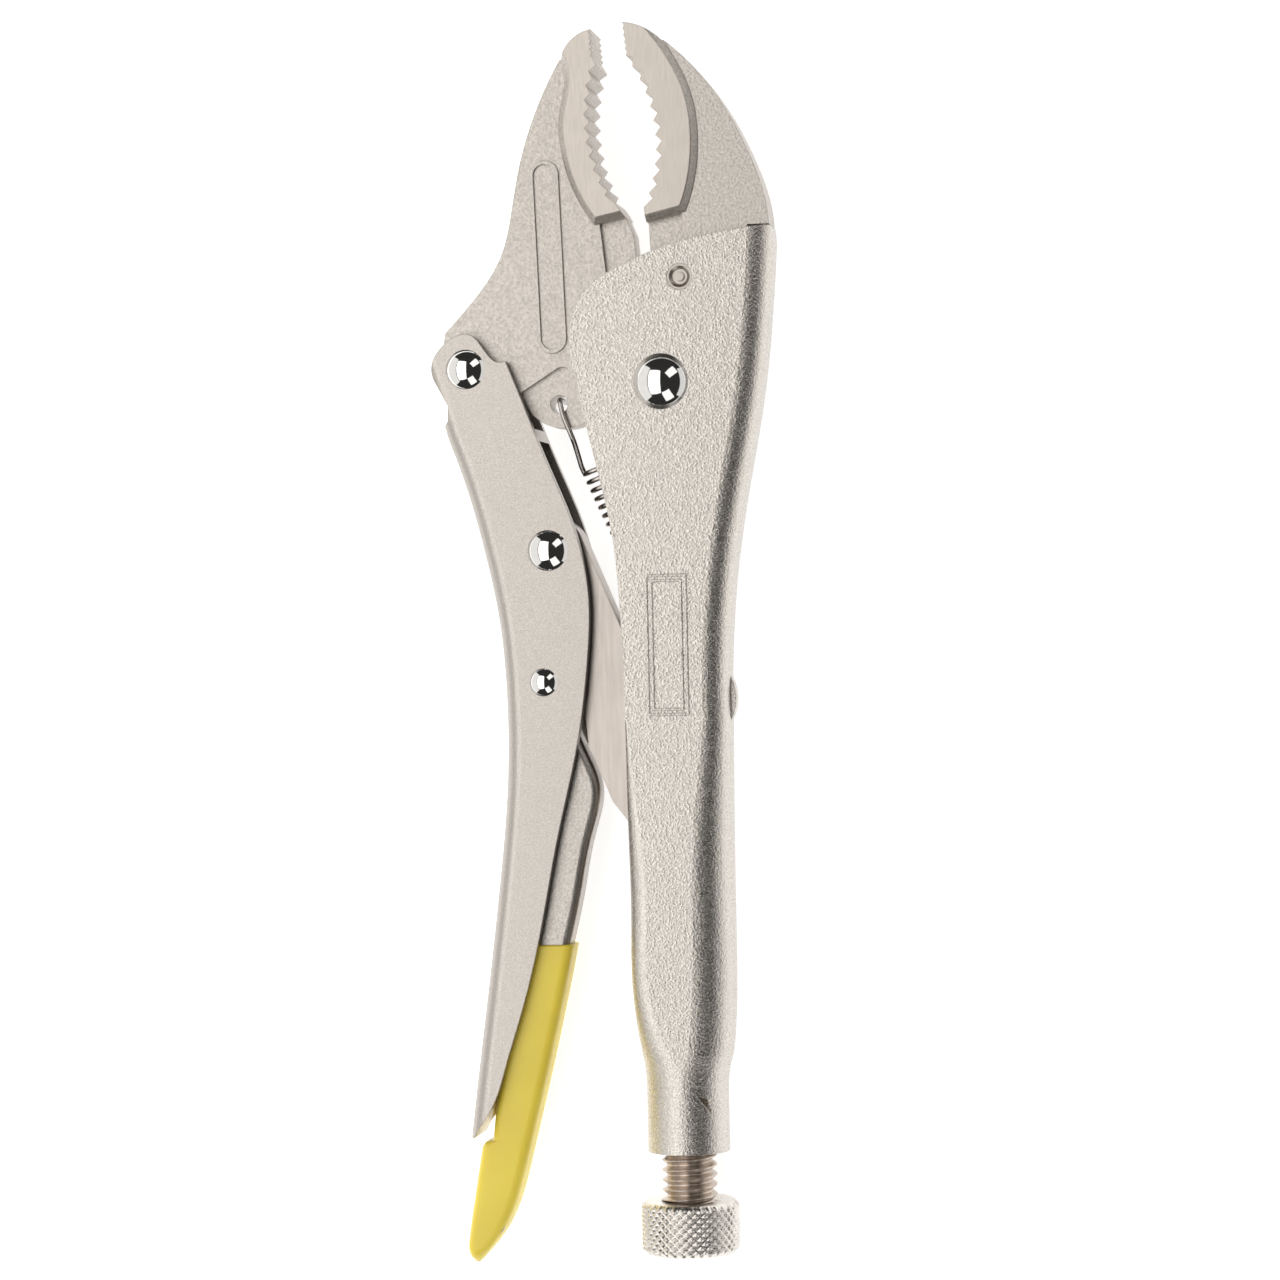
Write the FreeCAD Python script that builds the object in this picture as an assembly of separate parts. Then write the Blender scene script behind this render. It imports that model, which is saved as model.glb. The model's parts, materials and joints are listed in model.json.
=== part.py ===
import FreeCAD, Part
import math
import os
from FreeCAD import Vector

# Locking pliers with curved jaws, lying flat.  Millimetres.
# +Y runs from the adjusting knob to the jaw tips, +Z is the thickness and +X is the side
# of the fixed handle.  Everything is drawn about the main pivot on the mid-plane, and
# main() then moves the whole tool so that the origin is the middle of its footprint.

# ---- pivots of the toggle linkage, from the main pivot, handles locked ----
JAW_LEVER_PIVOT = (-40.0, 3.8)
LINK_PIVOT = (-23.8, -33.2)
RELEASE_PIVOT = (-25.2, -59.7)
LINK_SEAT = (1.4, -93.5)        # where the link's end bears on the adjusting screw
SCREW_X = 1.4                   # axis of the adjusting screw, parallel to Y

# ---- sheet metal handles ----
HANDLE_GAP = 8.8                # clear width between the fixed handle's cheeks
HANDLE_SHEET = 2.4
HANDLE_BEND = 5.0               # outer bend radius along the spine
TUBE_SHEET = 2.2                # the handle's wall where it closes round the screw
COLLAR_WALL = 1.5               # round the bush
COLLAR_TOP_Y = -140.5
COLLAR_END_Y = -154.5
LEVER_SHEET = 1.8
LEVER_BEND = 3.2

# ---- jaws ----
JAW_PAD_RISE = 1.6              # of each face of the pad over the handle's gap
JAW_NECK_DEPTH = 1.5            # of the forged relief behind each pad, below the gap
MOVING_JAW_CLEARANCE = 0.3      # to each cheek of the handle
TOOTH_DEPTH = 1.25
COARSE_TEETH = 11
FINE_TEETH = 5
FINE_TOOTH_DEPTH = 0.4
PAD_BEVEL = 1.3
HUB_RADIUS = 12.0               # round end of the movable jaw on the main pivot
HUB_CLEARANCE = 0.5

# ---- link and release lever ----
LINK_CLEARANCE = 1.2            # to each cheek of the handle
LINK_HALF_WIDTH = 6.9
LINK_BELLY = 1.9                # how much wider the link is on its outer side low down
LINK_BELLY_START = 33.0         # distance down the link, just past the release lever's nose
LINK_BELLY_RUN = 6.0            # along the link, while it widens
LINK_FOOT = 14.0                # length of the narrowing at the screw's end
LINK_END_RADIUS = 5.2
LEVER_CLEARANCE = 0.6           # from each cheek of the lever to the movable jaw
RELEASE_CLEARANCE = 1.2         # from each cheek of the lever to the release lever
RELEASE_SHEET = 1.4
GRIP_WALL = 0.85
GRIP_ROUNDING = 1.9
GRIP_TOP_Y = -112.8

# ---- rivets: shank radius, head radius, head height ----
MAIN_RIVET = (3.6, 5.6, 3.1)
JAW_LEVER_RIVET = (2.6, 4.0, 1.9)
LINK_RIVET = (2.6, 4.1, 1.9)
RELEASE_RIVET = (1.7, 2.8, 1.3)
PIVOT_CLEARANCE = 0.06          # radial, round every rivet that something turns on
STAKE_PIN_RADIUS = 2.6
STAKE_PIN_PLACE = (4.3, 20.8)
STAKE_PIN_INSET = 0.1           # of each end, below the cheek's face
STAKE_DIMPLE_DEPTH = 0.5
STAKE_NUB_RADIUS = 0.9

# ---- adjusting screw ----
THREAD_RADIUS = 5.6
THREAD_PITCH = 2.0
THREAD_DEPTH = 1.15
THREAD_CREST = 0.24             # flat width of a crest, and of a groove's bottom
THREAD_CLEARANCE = 0.08         # between the thread's crest and the bush
THROAT_CLEARANCE = 0.4          # between the thread's crest and the handle's tube
BUSH_WALL = 1.2                 # from the thread's crest out
BUSH_INSET = 0.6                # of the bush's end inside the collar's
SCREW_NOSE_TAPER = 1.4
SCREW_NOSE_GAP = 5.8            # from the link's end to the nose: travel left for both
SCREW_NOSE_LENGTH = 3.0
KNOB_RADIUS = 9.9
KNOB_HEIGHT = 10.4
KNOB_CHAMFER = 0.9
KNOB_TOP_Y = -164.5

# ---- spring ----
SPRING_WIRE_RADIUS = 0.62
SPRING_COIL_RADIUS = 2.9        # to the middle of the wire
SPRING_TURNS = 22
SPRING_PITCH = 1.87
SPRING_HOLE = (-21.5, -3.6)
SPRING_HOLE_RADIUS = 1.8
SPRING_TOP = (-14.4, -16.6)     # middle of the first turn
SPRING_LEAN = 24.0              # degrees between the spring's axis and -Y
HOOK_CLEARANCE = 0.15           # from the hook to the jaw's neck
SPRING_TAB_Y = -63.5
SPRING_TAB_LENGTH = 9.0
SPRING_TAB_WIDTH = 3.2
SPRING_TAB_HEIGHT = 1.1

# ---- sizes that follow from the ones above ----
HALF_GAP = HANDLE_GAP / 2
HANDLE_HALF = HALF_GAP + HANDLE_SHEET
JAW_PAD_HALF = HALF_GAP + JAW_PAD_RISE
JAW_NECK_HALF = HALF_GAP - JAW_NECK_DEPTH
MOVING_JAW_HALF = HALF_GAP - MOVING_JAW_CLEARANCE
LEVER_HALF_GAP = MOVING_JAW_HALF + LEVER_CLEARANCE
LEVER_HALF = LEVER_HALF_GAP + LEVER_SHEET
RELEASE_HALF = LEVER_HALF_GAP - RELEASE_CLEARANCE
THROAT_RADIUS = THREAD_RADIUS + THROAT_CLEARANCE
TUBE_HALF_DEPTH = THROAT_RADIUS + TUBE_SHEET
BUSH_RADIUS = THREAD_RADIUS + BUSH_WALL
COLLAR_RADIUS = BUSH_RADIUS + COLLAR_WALL
BUSH_TOP_Y = COLLAR_TOP_Y - 1.0
BEYOND = 60.0                   # long enough to cut past anything


# ---------------------------------------------------------------- drawing helpers

def at(point, z=0.0):
    return Vector(point[0], point[1], z)


def polar(centre, radius, degrees):
    angle = math.radians(degrees)
    return (centre[0] + radius * math.cos(angle), centre[1] + radius * math.sin(angle))


def along(start, end, distance, side=0.0):
    """The point this far from start towards end, and this far to the left of that line."""
    dx, dy = end[0] - start[0], end[1] - start[1]
    length = math.hypot(dx, dy)
    ux, uy = dx / length, dy / length
    return (start[0] + ux * distance - uy * side, start[1] + uy * distance + ux * side)


def outline(start, *runs):
    """Closed wire from start. A point is a straight run to it, ("arc", through, end) an
    arc, and ("curve", point, ...) a smooth curve through the points to the last one, which
    a "curve down" reaches in the -Y direction."""
    edges = []
    here = start
    for run in list(runs) + [start]:
        if run[0] == "arc":
            edges.append(Part.Arc(at(here), at(run[1]), at(run[2])).toShape())
            here = run[2]
        elif run[0] in ("curve", "curve down"):
            curve = Part.BSplineCurve()
            points = [at(here)] + [at(p) for p in run[1:]]
            if run[0] == "curve":
                curve.interpolate(points)
            else:
                downwards = [Vector(0, -1, 0)] * len(points)
                only_last = [False] * (len(points) - 1) + [True]
                curve.interpolate(Points=points, Tangents=downwards, TangentFlags=only_last)
            edges.append(curve.toShape())
            here = run[-1]
        else:
            if at(here).distanceToPoint(at(run)) > 1e-6:
                edges.append(Part.makeLine(at(here), at(run)))
            here = run
    return Part.Wire(Part.sortEdges(edges)[0])


def slab(wire, half, low=None):
    """The wire made solid between -half and half, or between low and half."""
    low = -half if low is None else low
    face = Part.Face(wire)
    face.translate(Vector(0, 0, low))
    return face.extrude(Vector(0, 0, half - low))


def disc(centre, radius, half):
    return Part.makeCylinder(radius, 2 * half, at(centre, -half))


def block(low_x, high_x, low_y, high_y, low_z, high_z):
    corner = Vector(low_x, low_y, low_z)
    return Part.makeBox(high_x - low_x, high_y - low_y, high_z - low_z, corner)


def on_both_faces(shape):
    """The shape and its mirror image below the mid-plane, as a list."""
    return [shape, shape.mirror(Vector(0, 0, 0), Vector(0, 0, 1))]


def edges_where(shape, test):
    return [edge for edge in shape.Edges if test(edge)]


def one_solid(shape):
    shape = shape.removeSplitter()
    return shape.Solids[0] if len(shape.Solids) == 1 else shape


# ---------------------------------------------------------------- fixed handle

# spine side of the upper handle, from its top down to where the tube starts
HANDLE_TOP_Y = 30.6
TUBE_START_Y = -68.0
HANDLE_SPINE = ((22.9, 27.0), (22.0, 15.0), (19.9, -3.0), (16.3, -22.0), (14.0, -36.0),
                (12.6, -50.0), (12.15, -60.0), (12.1, TUBE_START_Y))
HANDLE_LIP = ((-8.7, TUBE_START_Y), (-8.75, -58.0), (-9.3, -44.0), (-10.6, -30.0),
              (-13.8, -15.0), (-17.1, 0.5))
HANDLE_BROW = ((-18.5, 8.0), (-15.4, 18.4), (-7.6, 23.6), (4.8, 28.0), (22.4, HANDLE_TOP_Y))

# sections of the tube: Y, left X, right X, half depth, left and right corner radius
TUBE_SECTIONS = (
    (TUBE_START_Y, -8.7, 12.1, HANDLE_HALF, 0.5, HANDLE_BEND),
    (-78.0, -8.7, 12.0, HANDLE_HALF + 0.5, 1.4, HANDLE_BEND + 0.9),
    (-90.0, -8.7, 11.9, TUBE_HALF_DEPTH - 0.2, 2.8, TUBE_HALF_DEPTH - 1.2),
    (-106.0, -8.6, 11.9, TUBE_HALF_DEPTH, 3.6, TUBE_HALF_DEPTH - 0.6),
    (-122.0, -8.6, 11.8, TUBE_HALF_DEPTH, 3.8, TUBE_HALF_DEPTH - 0.4),
    (-129.0, -8.1, 11.5, TUBE_HALF_DEPTH, 5.0, TUBE_HALF_DEPTH - 0.2),
    (-135.0, -7.4, 10.9, TUBE_HALF_DEPTH + 0.05, 7.0, TUBE_HALF_DEPTH - 0.05),
)
# the room inside the tube, in the same terms; it ends just inside the throat
CAVITY_END = THROAT_RADIUS - 0.3
CAVITY_SECTIONS = (
    (-72.0, -6.2, 9.4, HALF_GAP - 0.6, 0.5, 2.6),
    (-78.0, -6.5, 9.5, HALF_GAP + 0.5, 0.9, 3.2),
    (-90.0, -6.5, 9.6, THROAT_RADIUS - 0.2, 1.6, 4.8),
    (-106.0, -6.5, 9.6, THROAT_RADIUS, 2.0, 5.4),
    (-122.0, -6.5, 9.4, THROAT_RADIUS, 2.2, 5.6),
    (-130.0, -5.6, 8.8, THROAT_RADIUS, 4.4, THROAT_RADIUS - 0.2),
    (-137.0, SCREW_X - CAVITY_END, SCREW_X + CAVITY_END, CAVITY_END, CAVITY_END - 0.1,
     CAVITY_END - 0.1),
)
THROAT_TOP_Y = -136.0
SLOT_END_Y = -124.0             # the handle's open side closes below this

# embossed frame on the cheeks
FRAME_LEFT, FRAME_RIGHT = -4.0, 4.4
FRAME_BOTTOM, FRAME_TOP = -66.8, -38.6
FRAME_LINE = 0.45
FRAME_STEP = 1.0                # from the outer line to the inner one
FRAME_HEIGHT = 0.25
FRAME_ROOT = 0.5                # how far its lines start below the cheek's face

# the mark of the punch that stakes the bush, cut through the collar's wall
STAKE_NOTCH = ((4.4, -142.6), (7.0, -143.6), (7.0, -146.4))
STAKE_NOTCH_DEPTH = 3.4         # below the collar's crown
HOOK_ROOM = 3.0                 # half the length of the opening under the spring's tab


def rounded_section(y, left, right, half, left_radius, right_radius):
    """A rounded rectangle across the handle at height y, as a wire of eight edges."""
    corners = ((left, -half, left_radius), (right, -half, right_radius),
               (right, half, right_radius), (left, half, left_radius))
    inward = ((1, 1), (-1, 1), (-1, -1), (1, -1))
    edges = []
    ends = []
    for i, (x, z, radius) in enumerate(corners):
        in_x, in_z = inward[i]
        beside = Vector(x, y, z + in_z * radius)
        below = Vector(x + in_x * radius, y, z)
        bulge = radius * (1 - math.sqrt(0.5))
        middle = Vector(x + in_x * bulge, y, z + in_z * bulge)
        first, last = (beside, below) if i % 2 == 0 else (below, beside)
        ends.append((first, middle, last))
    for i, (first, middle, last) in enumerate(ends):
        edges.append(Part.Arc(first, middle, last).toShape())
        edges.append(Part.makeLine(last, ends[(i + 1) % 4][0]))
    return Part.Wire(edges)


def loft(sections):
    return Part.makeLoft([rounded_section(*section) for section in sections], True)


def edges_over(shape, first, last):
    """The shape's edges that run flat from first to last, seen along Z."""
    def runs_so(edge):
        ends = [edge.valueAt(edge.FirstParameter), edge.valueAt(edge.LastParameter)]
        places = {(round(end.x, 3), round(end.y, 3)) for end in ends}
        wanted = {(round(x, 3), round(y, 3)) for x, y in (first, last)}
        return places == wanted and abs(ends[0].z - ends[1].z) < 1e-6
    return edges_where(shape, runs_so)


def shifted(points, dx):
    return tuple((x + dx, y) for x, y in points)


def upper_handle():
    wire = outline(HANDLE_SPINE[0], ("curve down",) + HANDLE_SPINE[1:], HANDLE_LIP[0],
                   ("curve",) + HANDLE_LIP[1:], ("curve",) + HANDLE_BROW)
    cheeks = slab(wire, HANDLE_HALF)
    return cheeks.makeFillet(HANDLE_BEND, edges_over(cheeks, HANDLE_SPINE[0], HANDLE_SPINE[-1]))


def handle_cavity():
    """The room between the cheeks, open towards the lever."""
    inner = shifted(HANDLE_SPINE, -HANDLE_SHEET)
    top = (inner[0][0] + 0.2, HANDLE_TOP_Y + 5)
    end = (inner[-1][0], SLOT_END_Y)
    wire = outline(top, inner[0], ("curve down",) + inner[1:], end, (-BEYOND, SLOT_END_Y),
                   (-BEYOND, top[1]))
    room = slab(wire, HALF_GAP)
    room = room.makeFillet(HANDLE_BEND - HANDLE_SHEET, edges_over(room, inner[0], inner[-1]))
    return room.fuse(loft(CAVITY_SECTIONS))


def spring_tab():
    """The bridge lanced out of the spine, which the spring's lower hook goes through."""
    x = HANDLE_SPINE[-1][0]
    low = SPRING_TAB_Y - SPRING_TAB_LENGTH / 2
    high = SPRING_TAB_Y + SPRING_TAB_LENGTH / 2
    wire = outline((x - 1.0, low), (x, low),
                   ("arc", (x + SPRING_TAB_HEIGHT, SPRING_TAB_Y), (x, high)), (x - 1.0, high))
    return slab(wire, SPRING_TAB_WIDTH / 2)


def cheek_panels():
    """The plain double frame embossed on both cheeks of the handle."""
    frames = []
    for inset in (0.0, FRAME_STEP):
        left, right = FRAME_LEFT + inset, FRAME_RIGHT - inset
        bottom, top = FRAME_BOTTOM + inset, FRAME_TOP - inset
        low, high = HANDLE_HALF - FRAME_ROOT, HANDLE_HALF + FRAME_HEIGHT
        outside = block(left, right, bottom, top, low, high)
        inside = block(left + FRAME_LINE, right - FRAME_LINE, bottom + FRAME_LINE,
                       top - FRAME_LINE, low - 1, high + 1)
        frames += on_both_faces(outside.cut(inside))
    return frames


def down_from(y, radius, length):
    """A cylinder on the screw's axis, from the height y towards the knob."""
    return Part.makeCylinder(radius, length, Vector(SCREW_X, y, 0), Vector(0, -1, 0))


def shoulder():
    """The neck between the tube and the collar."""
    corner = COLLAR_RADIUS - 0.1
    neck = rounded_section(-139.0, SCREW_X - COLLAR_RADIUS - 0.1, SCREW_X + COLLAR_RADIUS + 0.2,
                           COLLAR_RADIUS, corner, corner)
    foot = rounded_section(COLLAR_TOP_Y - 0.5, SCREW_X - COLLAR_RADIUS,
                           SCREW_X + COLLAR_RADIUS, COLLAR_RADIUS, corner, corner)
    return Part.makeLoft([rounded_section(*TUBE_SECTIONS[-1]), neck, foot], True)


def hook_room():
    """The opening under the spring's tab, for the hook to pass through."""
    spine_x = HANDLE_SPINE[-1][0]
    half_width = SPRING_TAB_WIDTH / 2 - 0.5
    return block(spine_x - HANDLE_SHEET - 1, spine_x - 0.3, SPRING_TAB_Y - HOOK_ROOM,
                 SPRING_TAB_Y + HOOK_ROOM, -half_width, half_width)


def handle_shell():
    collar = down_from(COLLAR_TOP_Y, COLLAR_RADIUS, COLLAR_TOP_Y - COLLAR_END_Y)
    solids = [loft(TUBE_SECTIONS), shoulder(), collar, spring_tab()] + cheek_panels()
    shell = upper_handle().multiFuse(solids)
    notch = slab(outline(*STAKE_NOTCH), BEYOND, low=COLLAR_RADIUS - STAKE_NOTCH_DEPTH)
    cuts = [handle_cavity(), down_from(THROAT_TOP_Y, THROAT_RADIUS, BEYOND),
            down_from(BUSH_TOP_Y, BUSH_RADIUS, BEYOND), hook_room(), notch,
            disc((0, 0), MAIN_RIVET[0], BEYOND), disc(STAKE_PIN_PLACE, STAKE_PIN_RADIUS, BEYOND)]
    return one_solid(shell.cut(cuts))


# ---------------------------------------------------------------- jaws

FIXED_BITE_CENTRE = (-30.5, 47.5)
FIXED_BITE_RADIUS = 30.4
FIXED_BITE_ANGLES = (31.1, -24.1)       # of the first and last coarse tooth
MOVING_BITE_CENTRE = (20.6, 53.6)
MOVING_BITE_RADIUS = 34.0
MOVING_BITE_ANGLES = (162.2, 210.8)


def coarse_teeth(centre, radius, angles, side):
    """Tips along the bite's arc, each pair with a valley cut straight back on this side."""
    step = (angles[1] - angles[0]) / (COARSE_TEETH - 1)
    tips = [polar(centre, radius, angles[0] + step * i) for i in range(COARSE_TEETH)]
    points = []
    for tip, after in zip(tips, tips[1:]):
        middle = ((tip[0] + after[0]) / 2, (tip[1] + after[1]) / 2)
        points += [tip, (middle[0] + side * TOOTH_DEPTH, middle[1] + 0.2 * TOOTH_DEPTH)]
    return points + [tips[-1]]


def fine_teeth(start, end, side):
    """A straight row of small teeth from start to end, their valleys on this side."""
    points = []
    for i in range(FINE_TEETH):
        tip = (start[0] + (end[0] - start[0]) * i / FINE_TEETH,
               start[1] + (end[1] - start[1]) * i / FINE_TEETH)
        half = (end[1] - start[1]) / FINE_TEETH / 2
        points += [tip, (tip[0] + side * FINE_TOOTH_DEPTH, tip[1] + half)]
    return points + [end]


def pad(back_start, back_curve, foot, tip_runs, teeth):
    """A jaw's ground pad: tapered behind by its bevel, toothed in front."""
    wire = outline(back_start, ("curve",) + back_curve, foot, *(teeth + tip_runs))
    body = slab(wire, JAW_PAD_HALF)
    behind = edges_over(body, back_start, back_curve[-1])
    return body.makeChamfer(PAD_BEVEL, behind + edges_over(body, back_curve[-1], foot))


def stadium(top, bottom, radius):
    """A slot-shaped wire round the line from top to bottom."""
    return outline(along(top, bottom, 0, radius), ("arc", along(top, bottom, -radius),
                   along(top, bottom, 0, -radius)), along(bottom, top, 0, radius),
                   ("arc", along(bottom, top, -radius), along(bottom, top, 0, -radius)))


def fixed_jaw():
    back = ((4.4, 63.9), (7.3, 56.6), (8.2, 48.4), (7.4, 40.4), (5.4, 34.0))
    tip = [("arc", (-2.3, 71.2), (2.0, 67.9))]
    teeth = fine_teeth((-6.5, 72.4), (-5.8, 65.6), 1)
    teeth += [(-4.4, 65.1)]
    teeth += coarse_teeth(FIXED_BITE_CENTRE, FIXED_BITE_RADIUS, FIXED_BITE_ANGLES, 1)
    pad_solid = pad((2.0, 67.9), back, (-2.5, 32.2), tip, list(reversed(teeth)))
    root = polar((0, 0), HUB_RADIUS + HUB_CLEARANCE, 20)
    middle = polar((0, 0), HUB_RADIUS + HUB_CLEARANCE, 60)
    end = polar((0, 0), HUB_RADIUS + HUB_CLEARANCE, 97)
    inner = HANDLE_BEND + 0.1
    plate = outline((1.7, 68.6), ("curve", (6.4, 64.3), (12.8, 56.2), (18.5, 45.2),
                    (21.8, 34.8), (22.2, HANDLE_TOP_Y + 0.3)),
                    (22.9 - inner, HANDLE_TOP_Y + 0.3), (22.5 - inner, 20.0), (20.8 - inner, 4.3),
                    root, ("arc", middle, end), (-2.1, 26.0), (-2.4, 32.6), (2.4, 40.0),
                    (2.6, 52.0), (0.0, 62.0), (-1.0, 68.6))
    body = slab(plate, HALF_GAP)
    relief = outline((-4.0, 35.0), (4.5, 35.0), (5.6, 24.0), (-4.0, 24.0))
    reliefs = on_both_faces(slab(relief, HALF_GAP + 1, low=JAW_NECK_HALF))
    jaw = body.cut(reliefs).fuse(pad_solid)
    return one_solid(jaw.cut(disc(STAKE_PIN_PLACE, STAKE_PIN_RADIUS, BEYOND)))


MOVING_JAW_BACK = ((-19.7, 65.8), (-25.0, 55.3), (-28.4, 45.0), (-30.2, 36.0), (-32.8, 26.3),
                   (-38.3, 18.2), (-44.6, 11.4))
EAR_RADIUS = 7.0                # the lever's round ears over the jaw-lever pivot
JAW_EYE_RADIUS = 6.0            # the jaw's own round end under them
PANEL_TOP = (-23.4, 42.6)
PANEL_BOTTOM = (-22.4, 9.6)
PANEL_RADIUS = 3.0
PANEL_RIM = 0.8
PANEL_HEIGHT = 0.5


def moving_jaw_plate():
    eye = [polar(JAW_LEVER_PIVOT, JAW_EYE_RADIUS, degrees) for degrees in (150, 230, 300)]
    hub = [polar((0, 0), HUB_RADIUS, degrees) for degrees in (215, 300, 62, 105)]
    return outline(MOVING_JAW_BACK[0], ("curve",) + MOVING_JAW_BACK[1:], eye[0],
                   ("arc", eye[1], eye[2]), (-29.6, -1.0), (-27.2, -5.4),
                   ("arc", (-21.6, -8.4), (-15.6, -7.2)), hub[0], ("arc", hub[1], hub[2]),
                   ("arc", polar((0, 0), HUB_RADIUS, 85), hub[3]), (-5.0, 25.2), (-5.5, 30.0),
                   (-6.9, 33.4), (-14.0, 40.0), (-15.5, 52.0), (-14.0, 62.0), (-16.0, 66.0))


def movable_jaw():
    back = ((-18.6, 62.2), (-20.0, 54.0), (-19.6, 46.6), (-17.2, 38.8), (-13.2, 32.1))
    tip = [("arc", (-16.9, 69.4), (-19.3, 65.4))]
    teeth = fine_teeth((-12.9, 71.3), (-12.5, 65.4), -1)
    teeth += coarse_teeth(MOVING_BITE_CENTRE, MOVING_BITE_RADIUS, MOVING_BITE_ANGLES, -1)
    pad_solid = pad((-19.3, 65.4), back, (-6.8, 33.4), tip, list(reversed(teeth)))
    half = MOVING_JAW_HALF
    body = slab(moving_jaw_plate(), half)
    neck = outline((-12.3, 33.5), (-10.4, 16.0), (-2.0, 16.0), (-2.0, 33.5))
    tang = outline((-29.6, -1.4), (-21.8, 3.4), ("arc", (-20.4, 3.8), (-19.0, 3.0)),
                   (-15.4, 0.0), (-15.4, -14.0), (-29.6, -14.0))
    cuts = on_both_faces(slab(neck, half + 1, low=JAW_NECK_HALF))
    cuts += on_both_faces(slab(tang, half + 1, low=JAW_NECK_HALF))
    cuts += [disc((0, 0), MAIN_RIVET[0] + PIVOT_CLEARANCE, BEYOND),
             disc(JAW_LEVER_PIVOT, JAW_LEVER_RIVET[0] + PIVOT_CLEARANCE, BEYOND),
             disc(SPRING_HOLE, SPRING_HOLE_RADIUS, BEYOND)]
    rim = slab(stadium(PANEL_TOP, PANEL_BOTTOM, PANEL_RADIUS), half + PANEL_HEIGHT, low=half)
    well = slab(stadium(PANEL_TOP, PANEL_BOTTOM, PANEL_RADIUS - PANEL_RIM), half + 1, low=half)
    rims = on_both_faces(rim.cut(well))
    return one_solid(body.cut(cuts).multiFuse([pad_solid] + rims))


# ---------------------------------------------------------------- lever side

LEVER_BACK = ((-44.1, -11.0), (-40.6, -20.9), (-37.4, -33.0), (-34.7, -46.5), (-33.4, -62.0),
              (-33.5, -78.0), (-35.5, -99.0), (-38.6, -122.5), (-42.6, -151.6))
LEVER_FRONT = ((-38.8, -147.2), (-37.1, -144.2), (-34.5, -136.5), (-31.9, -128.5),
               (-27.6, -113.0), (-22.9, -90.5), (-18.5, -72.0), (-16.1, -55.0),
               (-15.6, -43.0), (-18.4, -28.5), (-24.0, -14.5), (-28.6, -2.6), (-31.7, 5.2))
LEVER_SPINE_TOP_Y = -8.5        # the ears above this have no spine between them


def lever_handle():
    ear = [polar(JAW_LEVER_PIVOT, EAR_RADIUS, degrees) for degrees in (10, 80, 160)]
    wire = outline(LEVER_BACK[0], ("curve",) + LEVER_BACK[1:], (-41.6, -151.6), (-40.6, -149.6),
                   ("curve",) + LEVER_FRONT, ("curve", ear[0], ear[1], ear[2], (-46.0, 0.6)),
                   (-43.8, -3.4), (-43.9, -6.4), (-45.1, -7.8))
    cheeks = slab(wire, LEVER_HALF)
    cheeks = cheeks.makeFillet(LEVER_BEND, edges_over(cheeks, LEVER_BACK[0], LEVER_BACK[-1]))
    inner = shifted(LEVER_BACK, LEVER_SHEET)
    room = slab(outline(inner[0], ("curve",) + inner[1:], (inner[-1][0], -BEYOND * 3),
                        (BEYOND, -BEYOND * 3), (BEYOND, inner[0][1])), LEVER_HALF_GAP)
    room = room.makeFillet(LEVER_BEND - LEVER_SHEET, edges_over(room, inner[0], inner[-1]))
    between_ears = block(-BEYOND, BEYOND, LEVER_SPINE_TOP_Y, BEYOND, -LEVER_HALF_GAP,
                         LEVER_HALF_GAP)
    cuts = [room, between_ears, disc(JAW_LEVER_PIVOT, JAW_LEVER_RIVET[0], BEYOND),
            disc(LINK_PIVOT, LINK_RIVET[0], BEYOND), disc(RELEASE_PIVOT, RELEASE_RIVET[0], BEYOND)]
    return one_solid(cheeks.cut(cuts))


def toggle_link():
    end = LINK_SEAT
    head = [along(LINK_PIVOT, end, 0, LINK_HALF_WIDTH), along(LINK_PIVOT, end, -LINK_HALF_WIDTH),
            along(LINK_PIVOT, end, 0, -LINK_HALF_WIDTH)]
    length = math.hypot(end[0] - LINK_PIVOT[0], end[1] - LINK_PIVOT[1])
    waist = length - LINK_FOOT
    belly = LINK_HALF_WIDTH + LINK_BELLY
    foot = [along(LINK_PIVOT, end, length, -LINK_END_RADIUS),
            along(LINK_PIVOT, end, length + LINK_END_RADIUS),
            along(LINK_PIVOT, end, length, LINK_END_RADIUS)]
    wire = outline(head[0], ("arc", head[1], head[2]),
                   along(LINK_PIVOT, end, LINK_BELLY_START, -LINK_HALF_WIDTH),
                   along(LINK_PIVOT, end, LINK_BELLY_START + LINK_BELLY_RUN, -belly),
                   along(LINK_PIVOT, end, waist, -belly), foot[0],
                   ("arc", foot[1], foot[2]), along(LINK_PIVOT, end, waist, LINK_HALF_WIDTH))
    link = slab(wire, HALF_GAP - LINK_CLEARANCE)
    return one_solid(link.cut(disc(LINK_PIVOT, LINK_RIVET[0] + PIVOT_CLEARANCE, BEYOND)))


RELEASE_FRONT = ((-20.0, -66.0), (-17.4, -74.0), (-14.9, -81.0), (-16.8, -91.0), (-19.3, -103.0),
                 (-22.9, -118.0), (-27.0, -136.0), (-31.6, -154.0), (-36.4, -168.0))
RELEASE_BACK = ((-35.2, -153.5), (-31.0, -125.0), (-27.6, -98.0), (-26.0, -80.0), (-28.6, -64.0))
RELEASE_SHOULDER = (-39.4, -154.2)      # steps back here, to swing clear of the lever's end
RELEASE_NOSE_RADIUS = 4.4
RELEASE_BEND = 1.6


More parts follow.
